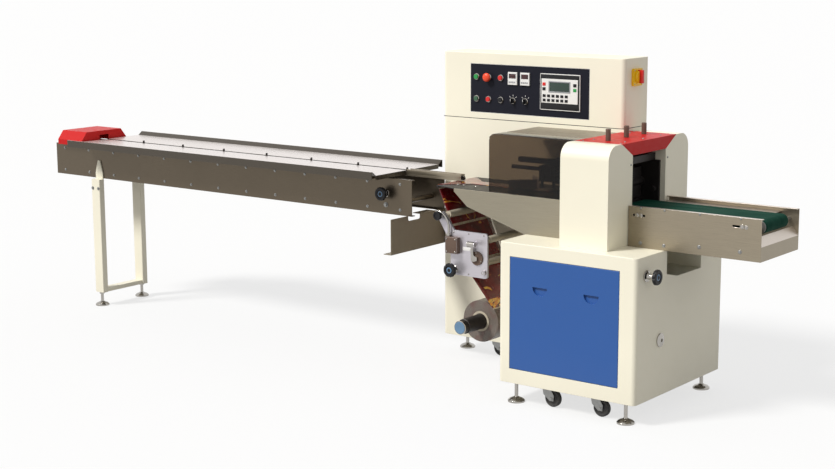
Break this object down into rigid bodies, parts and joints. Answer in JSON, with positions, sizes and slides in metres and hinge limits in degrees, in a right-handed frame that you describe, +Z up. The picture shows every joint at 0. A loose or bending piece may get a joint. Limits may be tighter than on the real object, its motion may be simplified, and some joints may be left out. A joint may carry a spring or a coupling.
{
  "type": "horizontal flow wrapper",
  "caption": "Horizontal flow wrapper: pusher-chain in-feed, reel-fed film unit, smoked hood over the former, crimper guard, belt discharge and control box.",
  "frame": {"origin": "on the floor, under the middle of the overall length and depth", "axes": "+X from the in-feed to the discharge, -Y the operator's side, +Z up"},
  "size_m": [4.26, 0.75, 1.45],
  "materials": {
    "cream_paint": "satin powder coat",
    "blue_paint": "satin powder coat",
    "red_paint": "gloss",
    "stainless": "brushed",
    "grey_sheet": "satin",
    "aluminium": "anodised",
    "chrome": "polished",
    "zinc": "zinc plated",
    "dark_metal": "blackened",
    "navy_panel": "printed film",
    "white_plastic": "gloss",
    "black_plastic": "moulded",
    "red_plastic": "gloss",
    "yellow_plastic": "gloss",
    "smoked_acrylic": "smoked",
    "green_belt": "smooth",
    "roller_rubber": "smooth",
    "printed_film": "printed",
    "wound_film": "wound edge",
    "chain_steel": "oiled",
    "wheel_rubber": "smooth"
  },
  "bodies": {
    "machine": {"base_cabinet": "cream_paint", "blue_panel": "blue_paint", "rear_column": "cream_paint", "control_box": "cream_paint", "rear_cover": "cream_paint", "display_panel": "navy_panel", "operator_terminal": "white_plastic", "temperature_controllers": "white_plastic", "push_buttons": "black_plastic", "switch_plate": "yellow_plastic", "levelling_feet": "chrome", "caster_plates": "zinc", "crimper_guards": "cream_paint", "crimper_lid": "red_paint", "pressure_posts": "chrome", "crimper_head": "dark_metal", "discharge_frame": "stainless", "discharge_belt": "green_belt", "discharge_rollers": "zinc", "table_skirt": "stainless", "former_table": "dark_metal", "fin_sealer": "dark_metal", "folding_horns": "aluminium", "hood_shelf": "grey_sheet", "infeed_frame": "stainless", "infeed_deck": "stainless", "pusher_chain": "chain_steel", "chain_channel": "stainless", "end_cover": "red_paint", "infeed_legs": "cream_paint", "infeed_bracket": "grey_sheet", "hub_flanges": "chrome", "film_plate": "aluminium", "film_rollers": "roller_rubber", "film_web": "printed_film"},
    "smoked_hood": {"smoked_hood": "smoked_acrylic"},
    "switch_handle": {"switch_handle": "red_plastic"},
    "emergency_stop": {"emergency_stop": "red_plastic"},
    "selector_knob_left": {"selector_knob_left": "black_plastic"},
    "selector_knob_right": {"selector_knob_right": "black_plastic"},
    "infeed_handwheel": {"infeed_handwheel": "black_plastic"},
    "side_handwheel": {"side_handwheel": "black_plastic"},
    "film_handwheel": {"film_handwheel": "black_plastic"},
    "star_knob": {"star_knob": "black_plastic"},
    "nip_lever": {"nip_lever": "chrome"},
    "film_reel": {"film_roll": "wound_film", "reel_shaft": "dark_metal"},
    "caster_front_left": {"caster_fork_front_left": "zinc"},
    "wheel_front_left": {"caster_wheel_front_left": "wheel_rubber"},
    "caster_front_right": {"caster_fork_front_right": "zinc"},
    "wheel_front_right": {"caster_wheel_front_right": "wheel_rubber"},
    "caster_rear_left": {"caster_fork_rear_left": "zinc"},
    "wheel_rear_left": {"caster_wheel_rear_left": "wheel_rubber"},
    "caster_rear_right": {"caster_fork_rear_right": "zinc"},
    "wheel_rear_right": {"caster_wheel_rear_right": "wheel_rubber"}
  },
  "joints": [
    {"name": "hood_lift", "type": "hinge", "parent": "machine", "child": "smoked_hood", "pos_m": [1.06, -0.08, 1.123], "axis": [-1, 0, 0], "range_deg": [0, 80]},
    {"name": "switch_turn", "type": "hinge", "parent": "machine", "child": "switch_handle", "pos_m": [1.33, 0.271, 1.366], "axis": [1, 0, 0], "range_deg": [0, 90]},
    {"name": "stop_press", "type": "slide", "parent": "machine", "child": "emergency_stop", "axis": [0, 1, 0], "range_m": [0, 0.004]},
    {"name": "left_knob_turn", "type": "hinge", "parent": "machine", "child": "selector_knob_left", "pos_m": [0.7285, 0.165, 1.238], "axis": [0, -1, 0], "range_deg": [0, 90]},
    {"name": "right_knob_turn", "type": "hinge", "parent": "machine", "child": "selector_knob_right", "pos_m": [0.796, 0.165, 1.238], "axis": [0, -1, 0], "range_deg": [0, 90]},
    {"name": "infeed_wheel_turn", "type": "hinge", "parent": "machine", "child": "infeed_handwheel", "pos_m": [0.208, -0.14, 0.8], "axis": [0, -1, 0], "continuous": true},
    {"name": "side_wheel_turn", "type": "hinge", "parent": "machine", "child": "side_handwheel", "pos_m": [1.75, -0.301, 0.621], "axis": [1, 0, 0], "continuous": true},
    {"name": "film_wheel_turn", "type": "hinge", "parent": "machine", "child": "film_handwheel", "pos_m": [0.646, -0.195, 0.5], "axis": [0, -1, 0], "continuous": true},
    {"name": "star_knob_turn", "type": "hinge", "parent": "machine", "child": "star_knob", "pos_m": [0.566, -0.18, 0.738], "axis": [0, -1, 0], "continuous": true},
    {"name": "nip_release", "type": "hinge", "parent": "machine", "child": "nip_lever", "pos_m": [0.769, -0.17, 0.562], "axis": [0, -1, 0], "range_deg": [0, 70]},
    {"name": "reel_turn", "type": "hinge", "parent": "machine", "child": "film_reel", "pos_m": [0.767, 0, 0.269], "axis": [0, 1, 0], "continuous": true},
    {"name": "swivel_front_left", "type": "hinge", "parent": "machine", "child": "caster_front_left", "pos_m": [1.249, -0.31, 0.085], "axis": [0, 0, 1], "continuous": true},
    {"name": "roll_front_left", "type": "hinge", "parent": "caster_front_left", "child": "wheel_front_left", "pos_m": [1.275, -0.31, 0.04], "axis": [0, 1, 0], "continuous": true},
    {"name": "swivel_front_right", "type": "hinge", "parent": "machine", "child": "caster_front_right", "pos_m": [1.489, -0.31, 0.085], "axis": [0, 0, 1], "continuous": true},
    {"name": "roll_front_right", "type": "hinge", "parent": "caster_front_right", "child": "wheel_front_right", "pos_m": [1.515, -0.31, 0.04], "axis": [0, 1, 0], "continuous": true},
    {"name": "swivel_rear_left", "type": "hinge", "parent": "machine", "child": "caster_rear_left", "pos_m": [0.581, 0.27, 0.085], "axis": [0, 0, 1], "continuous": true},
    {"name": "roll_rear_left", "type": "hinge", "parent": "caster_rear_left", "child": "wheel_rear_left", "pos_m": [0.607, 0.27, 0.04], "axis": [0, 1, 0], "continuous": true},
    {"name": "swivel_rear_right", "type": "hinge", "parent": "machine", "child": "caster_rear_right", "pos_m": [1.489, 0.27, 0.085], "axis": [0, 0, 1], "continuous": true},
    {"name": "roll_rear_right", "type": "hinge", "parent": "caster_rear_right", "child": "wheel_rear_right", "pos_m": [1.515, 0.27, 0.04], "axis": [0, 1, 0], "continuous": true}
  ]
}
